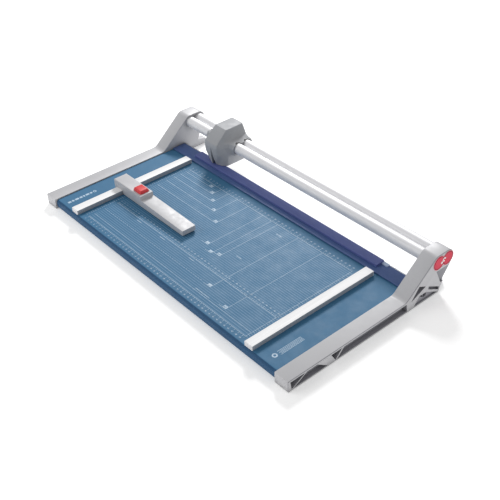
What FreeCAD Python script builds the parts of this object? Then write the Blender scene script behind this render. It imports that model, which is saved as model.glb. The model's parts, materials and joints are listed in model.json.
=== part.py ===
"""Rotary paper trimmer: a parametric FreeCAD document, millimetres, +Z up.

Every piece is drawn in shop coordinates: X from the middle of the trimmer, Y back from the front
faces of the end pieces, Z up from their undersides.  The common seat() then carries it to the
part's own frame, whose origin is the middle of the footprint on the surface it stands on.
"""
import FreeCAD, Part
import math
import os
import re
import Sketcher

Vector = FreeCAD.Vector
ALONG_X, ALONG_Y, ALONG_Z = range(3)
TURNS = (FreeCAD.Rotation(Vector(0, 1, 0), 90), FreeCAD.Rotation(Vector(1, 0, 0), -90),
         FreeCAD.Rotation())

# ---------------------------------------------------------------- driving dimensions
SIZES = {
    # end pieces
    "body_width": (730, "over the two end pieces"),
    "end_width": (32, "thickness of one end piece"),
    "end_low_height": (22, "height of the low front part of an end piece"),
    "heel_offset": (9, "front tube axis to the rear corner of the outer foot"),
    "knee_setback": (276, "front face to the start of the ramp"),
    "knee_blend": (18, "blend radius between low part and ramp"),
    "lobe_radius": (15.6, "end piece outline around each guide tube"),
    "edge_round": (1.6, "rounding of the outer edges of an end piece"),
    "rim_wall": (2.6, "wall around the pockets of an end piece"),
    "inner_wall": (6, "wall left between the pockets and the inner face"),
    "foot_proud": (1.5, "thickness of the rubber feet"),
    "foot_length": (34, "length of a rubber foot"),
    "foot_width": (22, "width of a rubber foot"),
    "foot_setback": (14, "front face to the first foot"),
    "heel_width": (16, "heel behind the foot of an end piece, across the trimmer"),
    "heel_reach": (38.5, "front tube axis to the back of the heel"),
    "heel_height": (17, "height of the heel where it leaves the end piece"),
    "heel_slope": (5, "fall of the heel towards its back"),
    # truss pockets on the outer side of an end piece
    "truss_foot_one": (7, "first rib at the bottom"),
    "truss_head_one": (37, "first rib at the top"),
    "truss_head_two": (63, "second rib at the top"),
    "truss_foot_two": (86, "second rib at the bottom"),
    "truss_head_three": (94, "third rib at the top"),
    "truss_foot_three": (104, "third and fourth ribs at the bottom"),
    "truss_head_four": (119, "fourth rib at the top"),
    "truss_rib": (4, "width of a rib along the end piece"),
    "shallow_pocket": (9, "depth of the broad pockets between the ribs"),
    "band_depth": (6, "depth of the band-shaped pocket of the upright"),
    "foot_depth": (3, "depth of the broad pocket at the foot of the upright"),
    "slit_depth": (15, "depth of the long triangular pocket of the upright"),
    "core_depth": (24, "depth of the small triangular pocket of the upright"),
    "facet_depth": (9, "depth of the hollow facet below the red cap at its front"),
    "facet_front": (-4, "upper front corner of the hollow facet behind the front tube axis"),
    "facet_heel": (11, "lower front corner of the hollow facet behind the front tube axis"),
    "facet_reach": (36, "front tube axis to where the hollow facet runs out"),
    "facet_top": (17, "tube axis down to the top of the hollow facet"),
    "facet_foot": (20, "underside to the foot of the hollow facet"),
    # guide tubes
    "tube_setback": (354, "front face to the axis of the front guide tube"),
    "tube_pitch": (23.4, "distance between the axes of the two guide tubes"),
    "tube_height": (68, "underside of the end pieces to the tube axes"),
    "tube_diameter": (23, "outside diameter of a guide tube"),
    "tube_wall": (2.5, "wall of a guide tube"),
    "screw_seat": (3, "depth of the screw heads below the seat of the cap"),
    "tube_floor": (4, "end piece left between a tube and the head of its screw"),
    "screw_grip": (14, "thread of a tube screw inside its insert"),
    "insert_length": (18, "threaded insert in a tube end"),
    "tube_screw": (6, "thread of the screws that hold the tubes"),
    "screw_head_ratio": (1.7, "head diameter over thread diameter"),
    "screw_head_height": (0.4, "head height over thread diameter"),
    "cap_recess": (3, "depth of the seat of the red end cap"),
    "cap_proud": (0.4, "how far the red end cap stands out"),
    "cap_radius": (14.4, "radius of one lobe of the red end cap"),
    # table
    "table_height": (19.4, "underside of the end pieces to the table top"),
    "table_front": (3.5, "front face of the end pieces to the table lip"),
    "flange_offset": (19.5, "rear flange of the table to the front tube axis"),
    "table_sheet": (1.5, "sheet thickness of the table"),
    "table_lip": (15, "height of the front lip"),
    "table_flange": (12, "height of the rear flange"),
    "table_bend": (5, "outside radius of the front bend"),
    "table_gap": (0.8, "gap between the table and an end piece"),
    "beam_width": (14, "width of a cross beam"),
    "beam_height": (12, "height of a cross beam"),
    "beam_wall": (1.5, "wall of a cross beam"),
    "beam_plug": (4, "solid end of a cross beam"),
    "front_beam_setback": (46, "front face of the end pieces to the front beam"),
    "beam_screw": (5, "thread of the screws that hold the beams"),
    "counter_thickness": (3.5, "thickness of the counter blade"),
    "counter_height": (11, "height of the counter blade"),
    "counter_screw": (4, "thread of the counter blade screws"),
    "counter_screw_pitch": (150, "spacing of the counter blade screws"),
    "counter_screw_drop": (7, "table top to the counter blade screws"),
    # stop rails
    "stop_left_edge": (257, "middle of the trimmer to the inner edge of the left stop rail"),
    "working_length": (510, "between the inner edges of the two stop rails"),
    "rail_width": (19, "width of a stop rail"),
    "rail_height": (9.3, "height of a stop rail"),
    "rail_clear": (7, "rear end of a stop rail to the clamp strip"),
    "rail_front": (8, "front face of the end pieces to a stop rail"),
    "rail_wall": (2, "wall of a stop rail"),
    "rail_cap": (1.2, "thickness of a stop rail end cap"),
    "rail_screw": (4, "thread of the stop rail screws"),
    "rail_screw_inset": (28.5, "end of a stop rail to its end screw"),
    # clamp
    "clamp_depth": (34.5, "front edge of the clamp strip to the rear flange of the table"),
    "clamp_rear_gap": (1.5, "clamp strip to the rear edge of the table"),
    "clamp_lift": (0.8, "gap under the clamp strip at rest"),
    "clamp_strip": (2, "thickness of the clamp strip"),
    "clamp_bar_inset": (12, "clamp strip front edge to the clamp bar"),
    "clamp_bar_height": (5.3, "height of the clamp bar on its strip"),
    "clamp_bar_wall": (1.6, "wall of the clamp bar"),
    "clamp_bar_left": (269, "middle of the trimmer to the left end of the clamp bar"),
    "clamp_bar_right": (262, "middle of the trimmer to the right end of the clamp bar"),
    "clamp_tab_length": (13, "pale tab at the right end of the clamp bar"),
    "clamp_tab_inset": (14, "front of the clamp bar to the front of its tab"),
    "clamp_end_gap": (1, "clamp strip to an end piece"),
    "post_diameter": (5, "diameter of a clamp post"),
    "post_inset": (11, "inner face of an end piece to the outer clamp posts"),
    "post_offset": (8, "front edge of the clamp strip to the clamp posts"),
    "cup_diameter": (12, "outside diameter of a clamp spring cup"),
    "cup_height": (14, "height of a clamp spring cup"),
    "cup_wall": (1.5, "wall of a clamp spring cup"),
    "clamp_spring_height": (5, "height of a clamp spring at rest"),
    "spring_wire": (0.7, "wire of the small springs"),
    # back stop
    "stop_setback": (115, "front face of the end pieces to the back stop at rest"),
    "stop_depth": (31, "size of the back stop along its rail"),
    "stop_left": (284, "middle of the trimmer to the left end of the back stop"),
    "stop_right": (54, "middle of the trimmer to the right end of the back stop"),
    "stop_head_height": (26, "top of the back stop head above the table"),
    "stop_step_height": (17, "top of the back stop arm at the step"),
    "stop_tip_height": (13, "top of the back stop arm at its tip"),
    "stop_step": (190.5, "middle of the trimmer to the step behind the button"),
    "stop_lift": (2.4, "gap under the back stop arm"),
    "hook_lift": (0.8, "gap under the hook of the back stop"),
    "slide_gap": (0.3, "gap around a sliding piece"),
    "button_left": (221, "middle of the trimmer to the left side of the button"),
    "button_length": (25, "size of the button across the trimmer"),
    "button_depth": (21, "size of the button along the rail"),
    "button_proud": (6.5, "height of the button above the head"),
    "button_skirt": (10, "height of the button below the top of the head"),
    "button_taper": (1.8, "inset of the button top from its sides"),
    "button_travel": (2.5, "travel of the button"),
    "shoe_length": (30, "lock shoe across the trimmer"),
    "shoe_height": (6, "height of the lock shoe"),
    "shoe_depth": (16, "lock shoe along the rail"),
    "stop_cover": (1.6, "thickness of the back stop bottom cover"),
    "stop_screw": (2.5, "thread of the bottom cover screws"),
    "cover_thread": (5, "screw length above the bottom cover"),
    "cover_gap": (0.4, "gap between the bottom cover and what moves above it"),
    "cover_rim": (3, "rail side of the chamber to the bottom cover"),
    "cover_reach": (8, "bottom cover past the step of the back stop"),
    "cover_screw_offset": (4, "step of the back stop to the cover screws"),
    "cover_screw_spread": (5, "middle of the back stop to a cover screw"),
    "button_coil_offset": (5, "middle of the button to its spring"),
    "button_coil_radius": (3.2, "outside radius of the button spring"),
    "clamp_coils": (4, "turns of a clamp spring"),
    "button_coils": (5, "turns of the button spring"),
    # cutting head
    "head_place": (212.8, "middle of the trimmer to the middle of the head at rest"),
    "collar_half": (44.8, "half width of the head over its collars"),
    "bush_wall": (1.5, "wall of a glide bush"),
    "bush_length": (14, "length of a glide bush"),
    "bush_recess": (2.5, "collar face to the end of a glide bush"),
    "running_gap": (0.06, "radial clearance of a running fit"),
    "hollow_wall": (2.8, "wall between the blade chamber and the faces of the prow"),
    "hollow_height": (57, "top of the blade chamber"),
    "hollow_offset": (4, "back of the blade chamber to the front tube axis"),
    "guard_slot_left": (0.8, "middle of the head to the left side of the wedge slot"),
    "guard_slot_right": (9, "middle of the head to the right side of the slot at its foot"),
    "guard_slot_top": (66, "top of the wedge slot"),
    "guard_slot_depth": (12, "depth of the wedge slot from in front of the nose"),
    "lid_back": (38.6, "front tube axis to the back of the head"),
    "lid_thickness": (3, "thickness of the rear lid of the head"),
    "lid_rim": (3, "wall around the rear lid"),
    "lid_sink": (4, "back of the head to the outside of its lid"),
    "lid_ledge": (5.6, "ledge around the hollow behind the lid"),
    "lid_thread": (7, "screw length in front of the lid"),
    "lid_screw": (2.5, "thread of the rear lid screws"),
    # blade
    "blade_diameter": (36, "diameter of the circular blade"),
    "blade_thickness": (0.8, "thickness of the circular blade"),
    "blade_dip": (1, "how far the blade passes below the counter blade edge"),
    "blade_gap": (0.3, "gap between the circular blade and the counter blade"),
    "axle_diameter": (6, "diameter of the blade axle"),
    "axle_anchor": (14, "length of the axle held in the head"),
    "hub_diameter": (15, "diameter of the blade hub"),
    "hub_length": (4, "length of the blade hub behind the blade"),
    "hub_cap": (1.4, "thickness of the hub in front of the blade"),
    "roller_gap": (0.35, "gap between the roller and the clamp bar at rest"),
    "roller_length": (9, "length of the clamp roller"),
    "roller_bush": (1.2, "wall of the bush in the clamp roller"),
    "spacer_length": (2, "spacer between hub and roller"),
    "clip_thickness": (0.8, "retaining clip at the end of the axle"),
}

# Pockets of the upright on the outer side of an end piece: depth and corners, each behind the front
# tube axis and above the underside.
UPRIGHT_POCKETS = {
    "slit": ("slit_depth", ((-66.5, 17.6), (-30, 33), (-48, 42))),
    "band": ("band_depth", ((-21.7, 28.4), (-21.9, 21.8), (7.2, 6), (8, 12.2))),
    "foot": ("foot_depth", ((-57.5, 2.6), (-46, 19.4), (-28, 19.4), (4, 2.6))),
    "core": ("core_depth", ((-46, 19.4), (-36.6, 19.4), (-31, 7.4))),
}
for pocket, (depth, corners) in UPRIGHT_POCKETS.items():
    for letter, (setback, rise) in zip("abcd", corners):
        SIZES["%s_back_%s" % (pocket, letter)] = (setback, "pocket corner behind the tube axis")
        SIZES["%s_rise_%s" % (pocket, letter)] = (rise, "pocket corner above the underside")

# Level curves of the head, from its sole up.  Each has its height above the tube axes and the
# corners of its right half: distance from the middle of the head, distance behind the front tube
# axis.  The first and last corners lie on the middle plane, and the left half mirrors the rest.
HEAD_LEVELS = {
    "sole": (-39.4, ((0, -37), (11, -32.5), (23, -28), (31.3, -20), (31.3, -14), (31.3, -9),
                     (31.3, 18), (31.3, 22), (26, 36), (0, 38.6))),
    "prow": (-26, ((0, -38.4), (15, -35.7), (25, -27.5), (31.3, -19), (31.3, -14), (31.3, -9),
                   (31.3, 18), (31.3, 24), (28, 38), (0, 38.6))),
    "skirt": (-18, ((0, -38.9), (18, -37), (25.5, -27.7), (31.3, -18), (31.6, -13), (32.5, -8),
                    (32.5, 34), (31.8, 37), (29.5, 38.4), (0, 38.6))),
    "crease": (-12.5, ((0, -39.3), (19.2, -38.2), (25.5, -28), (31.3, -17.5), (36, -13),
                       (44.8, -9.5), (44.8, 36.4), (37, 38), (30, 38.5), (0, 38.6))),
    "cheek": (3, ((0, -40), (19.3, -39.8), (22.5, -33.5), (27, -23.5), (33, -15.6), (44.8, -14.4),
                  (44.8, 38), (37, 38.4), (29, 38.5), (0, 38.6))),
    "nose": (11, ((0, -39.4), (19.3, -38.5), (20.6, -33), (23.5, -23.5), (31, -14.5),
                  (44.8, -10.5), (44.8, 35), (34, 37), (27, 38.5), (0, 38.6))),
    "shoulder": (16, ((0, -33.7), (19, -33.4), (19.9, -27.5), (21.5, -20), (24, -11), (27.5, -3),
                      (27.5, 30), (26, 35.5), (24, 38), (0, 38.6))),
    "flank": (25, ((0, -23.5), (18.2, -23), (18.8, -17), (19.6, -11), (20.5, -4), (21.3, 4),
                   (21.8, 28), (21.6, 34), (20.5, 37.4), (0, 38))),
    "crown": (37, ((0, -9.8), (17.2, -9.5), (17.3, -5), (17.3, 0), (17.3, 6), (17.3, 12),
                   (17.3, 26), (17.2, 32), (16, 35.8), (0, 36.5))),
}
for level, (rise, corners) in HEAD_LEVELS.items():
    SIZES["head_%s_rise" % level] = (rise, "level curve %s above the tube axes" % level)
    for letter, (half, setback) in zip("abcdefghij", corners):
        SIZES["head_%s_half_%s" % (level, letter)] = (half, "corner from the middle of the head")
        SIZES["head_%s_back_%s" % (level, letter)] = (setback, "corner behind the tube axis")

# ---------------------------------------------------------------- sizes that follow
RULES = {
    "end_foot_depth": "tube_setback + heel_offset",
    "table_rear": "tube_setback - flange_offset",
    "clamp_front": "table_rear - clamp_depth",
    "post_setback": "clamp_front + post_offset",
    "rail_length": "clamp_front - rail_clear - rail_front",
    "depth": "tube_setback + tube_pitch + lobe_radius",
    "inner_face": "body_width / 2 - end_width",
    "rear_tube": "tube_setback + tube_pitch",
    "tube_radius": "tube_diameter / 2",
    "tube_seat": "end_width - cap_recess - screw_seat - tube_floor",
    "tube_length": "body_width - 2 * end_width + 2 * tube_seat",
    "table_width": "body_width - 2 * end_width - 2 * table_gap",
    "table_under": "table_height - table_sheet",
    "beam_under": "table_under - beam_height",
    "rear_beam": "table_rear - table_sheet - beam_width",
    "cut_edge": "table_rear + counter_thickness",
    "rail_top": "table_height + rail_height",
    "left_rail": "0 - stop_left_edge - rail_width",
    "right_rail": "working_length - stop_left_edge",
    "strip_under": "table_height + clamp_lift",
    "strip_top": "strip_under + clamp_strip",
    "bar_top": "strip_top + clamp_bar_height",
    "bar_front": "clamp_front + clamp_bar_inset",
    "strip_rear": "table_rear - clamp_rear_gap",
    "blade_axis": "table_height - blade_dip + blade_diameter / 2",
    "blade_face": "cut_edge + blade_gap",
    "blade_back": "blade_face + blade_thickness",
    "bore_radius": "tube_radius + bush_wall",
    "roller_radius": "blade_axis - bar_top - roller_gap",
    "roller_rear": "blade_face - hub_cap - spacer_length",
    "head_underside": "tube_height + head_sole_rise",
    "head_top_height": "tube_height + head_crown_rise",
    "head_rear": "tube_setback + lid_back",
    "hollow_rear": "tube_setback - hollow_offset",
    "stop_head_top": "table_height + stop_head_height",
    "stop_under": "table_height + stop_lift",
    "groove_top": "rail_top + slide_gap",
    "shoe_left": "0 - stop_left_edge + slide_gap",
    "stop_middle": "stop_setback + stop_depth / 2",
    "chamber_floor": "stop_under + stop_cover",
    "button_under": "stop_head_top - button_skirt",
}

document = FreeCAD.newDocument("rotary_paper_trimmer")
sheet = document.addObject("Spreadsheet::Sheet", "Params")
for row, (alias, (value, meaning)) in enumerate(SIZES.items(), start=1):
    sheet.set("A%d" % row, meaning)
    sheet.set("B%d" % row, str(value))
    sheet.setAlias("B%d" % row, alias)
document.recompute()

NODES = []


def link(rule):
    """Write a rule as an expression on the cells of the sheet."""
    def cell(match):
        word = match.group(0)
        if word in SIZES:
            return "Params." + word
        if word in RULES:
            return "(" + link(RULES[word]) + ")"
        raise KeyError(word)
    return re.sub(r"[a-z][a-z_]*", cell, str(rule))


def size(alias):
    """Read one driving dimension."""
    return float(sheet.get(alias))


def bind(thing, field, rule):
    thing.setExpression(field, link(rule))


def place(thing, x, y, z, axis=ALONG_Z):
    thing.Placement = FreeCAD.Placement(Vector(0, 0, 0), TURNS[axis])
    bind(thing, "Placement.Base.x", x)
    bind(thing, "Placement.Base.y", y)
    bind(thing, "Placement.Base.z", z)


def seat(thing, label):
    """Name a finished sub-part and carry it into the part's own frame."""
    thing.Label = label
    place(thing, "0", "0 - depth / 2", "foot_proud")
    NODES.append(thing)
    return thing


# ---------------------------------------------------------------- Part primitives
def box(name, corner, extent):
    solid = document.addObject("Part::Box", name)
    for field, rule in zip(("Length", "Width", "Height"), extent):
        bind(solid, field, rule)
    place(solid, *corner)
    return solid


def rod(name, start, radius, length, axis):
    """A cylinder from start along one of the axes."""
    solid = document.addObject("Part::Cylinder", name)
    bind(solid, "Radius", radius)
    bind(solid, "Height", length)
    place(solid, *start, axis=axis)
    return solid


def cone(name, start, radii, length, axis):
    solid = document.addObject("Part::Cone", name)
    bind(solid, "Radius1", radii[0])
    bind(solid, "Radius2", radii[1])
    bind(solid, "Height", length)
    place(solid, *start, axis=axis)
    return solid


def fuse(name, solids):
    joined = document.addObject("Part::MultiFuse", name)
    joined.Shapes = solids
    return joined


def cut(name, base, tools):
    result = document.addObject("Part::Cut", name)
    result.Base = base
    result.Tool = tools[0] if len(tools) == 1 else fuse(name + "_tools", tools)
    return result


def common(name, solids):
    shared = document.addObject("Part::MultiCommon", name)
    shared.Shapes = solids
    return shared


def together(name, solids):
    """Separate solids of one node."""
    group = document.addObject("Part::Compound", name)
    group.Links = solids
    return group


def tube(name, start, outer, inner, length, axis):
    return cut(name, rod(name + "_out", start, outer, length, axis),
               [rod(name + "_in", start, inner, length, axis)])


def screw(name, seat_at, thread, shank, axis, sign):
    """A pan-head screw: seat_at is under its head, the shank runs along sign times the axis."""
    shank_start = list(seat_at)
    head_start = list(seat_at)
    head = "%s * screw_head_height" % thread
    if sign > 0:
        head_start[axis] = "%s - (%s)" % (seat_at[axis], head)
    else:
        shank_start[axis] = "%s - (%s)" % (seat_at[axis], shank)
    return fuse(name, [
        rod(name + "_shank", shank_start, "%s / 2" % thread, shank, axis),
        rod(name + "_head", head_start, "%s * screw_head_ratio / 2" % thread, head, axis)])


# ---------------------------------------------------------------- PartDesign bodies
def origin_plane(body, role):
    return [plane for plane in body.Origin.OriginFeatures if plane.Role == role][0]


def new_sketch(body, name, role, offset="0"):
    sketch = body.newObject("Sketcher::SketchObject", name)
    sketch.AttachmentSupport = [(origin_plane(body, role), "")]
    sketch.MapMode = "FlatFace"
    bind(sketch, "AttachmentOffset.Base.z", offset)
    return sketch


def fix(sketch, kind, geometry, point, start, rule):
    """Tie one coordinate of a point to a rule."""
    number = sketch.addConstraint(Sketcher.Constraint(kind, -1, 1, geometry, point, start))
    bind(sketch, "Constraints[%d]" % number, rule)


def polygon(sketch, corners):
    """A closed outline whose corners are pairs of rules."""
    first = sketch.GeometryCount
    count = len(corners)
    turn = 2 * math.pi / count
    spots = [Vector(math.cos(turn * i), math.sin(turn * i), 0) for i in range(count)]
    for i in range(count):
        sketch.addGeometry(Part.LineSegment(spots[i], spots[(i + 1) % count]), False)
    for i in range(count):
        following = first + (i + 1) % count
        sketch.addConstraint(Sketcher.Constraint("Coincident", first + i, 2, following, 1))
        fix(sketch, "DistanceX", first + i, 1, spots[i].x, corners[i][0])
        fix(sketch, "DistanceY", first + i, 1, spots[i].y, corners[i][1])
    return sketch


def circle(sketch, centre, radius):
    number = sketch.addGeometry(Part.Circle(Vector(0, 0, 0), Vector(0, 0, 1), 1), False)
    fix(sketch, "DistanceX", number, 3, 0, centre[0])
    fix(sketch, "DistanceY", number, 3, 0, centre[1])
    limit = sketch.addConstraint(Sketcher.Constraint("Radius", number, 1))
    bind(sketch, "Constraints[%d]" % limit, radius)
    return sketch


def feature(body, kind, name, sketch, length, backwards=False, midplane=False):
    """A Pad or Pocket whose effect on the volume is checked."""
    document.recompute()
    before = 0 if body.Tip is None else body.Shape.Volume
    made = body.newObject("PartDesign::" + kind, name)
    made.Profile = sketch
    bind(made, "Length", length)
    made.Reversed = backwards
    made.Midplane = midplane
    document.recompute()
    change = body.Shape.Volume - before
    if (change <= 0) == (kind == "Pad"):
        raise ValueError(name + " changes nothing")
    return made


def round_edges(body, name, radius, chosen):
    """Fillet the edges of the body's tip that the test chosen accepts."""
    document.recompute()
    base = body.Tip
    names = ["Edge%d" % number for number, edge in enumerate(base.Shape.Edges, start=1)
             if chosen(edge)]
    if not names:
        raise ValueError(name + " found no edge")
    made = body.newObject("PartDesign::Fillet", name)
    made.Base = (base, names)
    bind(made, "Radius", radius)
    document.recompute()
    return made


def middle(edge):
    return edge.valueAt((edge.FirstParameter + edge.LastParameter) / 2)


def near(first, second):
    return abs(first - second) < 0.05


# ---------------------------------------------------------------- end pieces
def end_outline(sketch):
    """Low front part, ramp, two lobes over the guide tubes and a back that leans forward."""
    knee = Vector(size("knee_setback"), size("end_low_height"), 0)
    heel = Vector(size("tube_setback") + size("heel_offset"), 0, 0)
    front = Vector(size("tube_setback"), size("tube_height"), 0)
    rear = front + Vector(size("tube_pitch"), 0, 0)
    radius = size("lobe_radius")

    def touch(point, centre, side):
        span = centre - point
        reach = math.sqrt(span.Length ** 2 - radius ** 2)
        angle = math.atan2(span.y, span.x) + side * math.asin(radius / span.Length)
        return point + Vector(math.cos(angle), math.sin(angle), 0) * reach

    on_front = touch(knee, front, 1)
    on_rear = touch(heel, rear, -1)
    lift = Vector(0, radius, 0)
    start = math.atan2(on_front.y - front.y, on_front.x - front.x)
    finish = math.atan2(on_rear.y - rear.y, on_rear.x - rear.x)
    upright = Vector(0, 0, 1)
    pieces = [
        Part.LineSegment(Vector(0, 0, 0), Vector(0, knee.y, 0)),
        Part.LineSegment(Vector(0, knee.y, 0), knee),
        Part.LineSegment(knee, on_front),
        Part.ArcOfCircle(Part.Circle(front, upright, radius), math.pi / 2, start),
        Part.LineSegment(front + lift, rear + lift),
        Part.ArcOfCircle(Part.Circle(rear, upright, radius), finish, math.pi / 2),
        Part.LineSegment(on_rear, heel),
        Part.LineSegment(heel, Vector(0, 0, 0)),
    ]
    for piece in pieces:
        sketch.addGeometry(piece, False)
    joints = [("Coincident", 0, 2, 1, 1), ("Coincident", 1, 2, 2, 1), ("Tangent", 2, 2, 3, 2),
              ("Tangent", 3, 1, 4, 1), ("Tangent", 4, 2, 5, 2), ("Tangent", 5, 1, 6, 1),
              ("Coincident", 6, 2, 7, 1), ("Coincident", 7, 2, 0, 1), ("Coincident", 0, 1, -1, 1),
              ("Vertical", 0), ("Horizontal", 1), ("Horizontal", 4), ("Horizontal", 7)]
    for joint in joints:
        sketch.addConstraint(Sketcher.Constraint(*joint))
    fix(sketch, "DistanceY", 0, 2, knee.y, "end_low_height")
    fix(sketch, "DistanceX", 1, 2, knee.x, "knee_setback")
    fix(sketch, "DistanceX", 7, 1, heel.x, "end_foot_depth")
    for arc, centre, rule in ((3, front, "tube_setback"), (5, rear, "rear_tube")):
        fix(sketch, "DistanceX", arc, 3, centre.x, rule)
        fix(sketch, "DistanceY", arc, 3, centre.y, "tube_height")
    limit = sketch.addConstraint(Sketcher.Constraint("Radius", 3, radius))
    bind(sketch, "Constraints[%d]" % limit, "lobe_radius")


LOW = "rim_wall"
HIGH = "end_low_height - rim_wall"
DEEP = "end_width - inner_wall"
TRUSS = [
    (DEEP, [("rim_wall + edge_round", HIGH), ("truss_foot_one", LOW), ("truss_head_one", HIGH)]),
    ("shallow_pocket", [("truss_head_one + truss_rib", HIGH), ("truss_foot_one + truss_rib", LOW),
                        ("truss_foot_two", LOW), ("truss_head_two", HIGH)]),
    (DEEP, [("truss_head_three", HIGH), ("truss_foot_three", LOW), ("truss_head_four", HIGH)]),
    ("shallow_pocket", [("truss_head_four + truss_rib", HIGH),
                        ("truss_foot_three + truss_rib", LOW), ("knee_setback + rim_wall", LOW),
                        ("knee_setback", HIGH)]),
]


def upright_pockets():
    """The pockets of the upright, from the cells of their corners."""
    for pocket, (depth, corners) in UPRIGHT_POCKETS.items():
        letters = "abcd"[:len(corners)]
        yield depth, [("tube_setback + %s_back_%s" % (pocket, letter),
                       "%s_rise_%s" % (pocket, letter)) for letter in letters]


def end_piece(label, side):
    """Die-cast end piece: tube bores inside, truss pockets and a cap seat outside."""
    body = document.addObject("PartDesign::Body", label + "_body")
    outward = side < 0
    inner = "%d * (inner_face)" % side
    outer = "%d * body_width / 2" % side
    sketch = new_sketch(body, label + "_outline", "YZ_Plane", inner)
    end_outline(sketch)
    feature(body, "Pad", label + "_block", sketch, "end_width", outward)

    low = size("end_low_height")
    knee = size("knee_setback")
    round_edges(body, label + "_knee", "knee_blend",
                lambda edge: near(middle(edge).y, knee) and near(middle(edge).z, low)
                and near(edge.Length, size("end_width")))
    outer_x = side * size("body_width") / 2
    round_edges(body, label + "_rim", "edge_round",
                lambda edge: near(middle(edge).z, low) and near(abs(middle(edge).x), abs(outer_x))
                or near(middle(edge).y, 0) and near(middle(edge).z, low / 2)
                and near(middle(edge).x, outer_x))

    def pocket(name, draw, depth, start=outer, from_inside=False):
        hole = new_sketch(body, label + name, "YZ_Plane", start)
        draw(hole)
        feature(body, "Pocket", label + name + "_cut", hole, depth, outward != from_inside)

    for number, beam in enumerate(("front_beam_setback", "rear_beam")):
        spot = (beam + " + beam_width / 2", "beam_under + beam_height / 2")
        pocket("_beam_head%d" % number,
               lambda sk, s=spot: circle(sk, s, "beam_screw * screw_head_ratio / 2 + slide_gap"),
               DEEP)
        pocket("_beam_hole%d" % number, lambda sk, s=spot: circle(sk, s, "beam_screw / 2"),
               "end_width")
    for number, (depth, corners) in enumerate(TRUSS + list(upright_pockets())):
        pocket("_pocket%d" % number, lambda sk, c=corners: polygon(sk, c), depth)
    for number, centre in enumerate(("tube_setback", "rear_tube")):
        spot = (centre, "tube_height")
        pocket("_lobe%d" % number, lambda sk, s=spot: circle(sk, s, "cap_radius"), "cap_recess")
        pocket("_hole%d" % number, lambda sk, s=spot: circle(sk, s, "tube_screw / 2"), "end_width")
        pocket("_head%d" % number,
               lambda sk, s=spot: circle(sk, s, "tube_screw * screw_head_ratio / 2 + slide_gap"),
               "cap_recess + screw_seat")
        pocket("_bore%d" % number, lambda sk, s=spot: circle(sk, s, "tube_radius"), "tube_seat",
               inner, True)
    heel = new_sketch(body, label + "_heel_outline", "YZ_Plane", inner)
    polygon(heel, [("tube_setback", "0"), ("tube_setback + heel_reach", "0"),
                   ("tube_setback + heel_reach", "heel_height - heel_slope"),
                   ("end_foot_depth", "heel_height"), ("tube_setback", "heel_height")])
    feature(body, "Pad", label + "_heel", heel, "heel_width", outward)
    return seat(cut(label + "_shape", body, [hollow_facet(label, side, inner, outer)]), label)


def hollow_facet(label, side, inner, outer):
    """Wedge taken off below the cap: deep at its front, running out at the back."""
    seen = document.addObject("PartDesign::Body", label + "_facet_side_view")
    outline = new_sketch(seen, label + "_facet_outline", "YZ_Plane", inner)
    top = "tube_height - facet_top"
    polygon(outline, [("tube_setback + facet_front", top), ("tube_setback + facet_heel", "facet_foot"),
                      ("tube_setback + 2 * facet_reach", "facet_foot"),
                      ("tube_setback + 2 * facet_reach", top)])
    feature(seen, "Pad", label + "_facet_prism", outline, "2 * end_width", side < 0)
    plan = document.addObject("PartDesign::Body", label + "_facet_plan_view")
    wedge = new_sketch(plan, label + "_facet_wedge", "XY_Plane")
    beyond = "%d * (body_width / 2 + facet_depth)" % side
    polygon(wedge, [("%d * (body_width / 2 - facet_depth)" % side, "tube_setback + facet_front"),
                    (outer, "tube_setback + facet_reach"), (beyond, "tube_setback + facet_reach"),
                    (beyond, "tube_setback + facet_front")])
    feature(plan, "Pad", label + "_facet_slope", wedge, "tube_height")
    return common(label + "_facet", [seen, plan])


def end_cap(label, side):
    """Red figure-eight plug over the tube screws."""
    near_x = "%d * body_width / 2 - %s" % (side, "cap_recess" if side > 0 else "cap_proud")
    extent = "cap_recess + cap_proud"
    lobes = [rod(label + "_lobe%d" % number, (near_x, spot, "tube_height"), "cap_radius", extent,
                 ALONG_X)
             for number, spot in enumerate(("tube_setback", "rear_tube"))]
    return seat(fuse(label + "_shape", lobes), label)


# ---------------------------------------------------------------- guide tubes
def guide_tubes():
    for label, spot in (("front_guide_tube", "tube_setback"), ("rear_guide_tube", "rear_tube")):
        start = ("0 - tube_length / 2", spot, "tube_height")
        seat(tube(label + "_shape", start, "tube_radius", "tube_radius - tube_wall",
                  "tube_length", ALONG_X), label)
    inserts = []
    screws = []
    for side in (-1, 1):
        for number, spot in enumerate(("tube_setback", "rear_tube")):
            tag = "%d_%d" % (side + 1, number)
            if side > 0:
                start = "tube_length / 2 - insert_length"
            else:
                start = "0 - tube_length / 2"
            inserts.append(tube("insert" + tag, (start, spot, "tube_height"),
                                "tube_radius - tube_wall", "tube_screw / 2", "insert_length",
                                ALONG_X))
            under_head = "%d * (body_width / 2 - cap_recess - screw_seat)" % side
            screws.append(screw("tube_screw" + tag, (under_head, spot, "tube_height"), "tube_screw",
                                "tube_floor + screw_grip", ALONG_X, -side))
    seat(together("inserts", inserts), "guide_tube_inserts")
    seat(together("tube_screws", screws), "guide_tube_screws")


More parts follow.
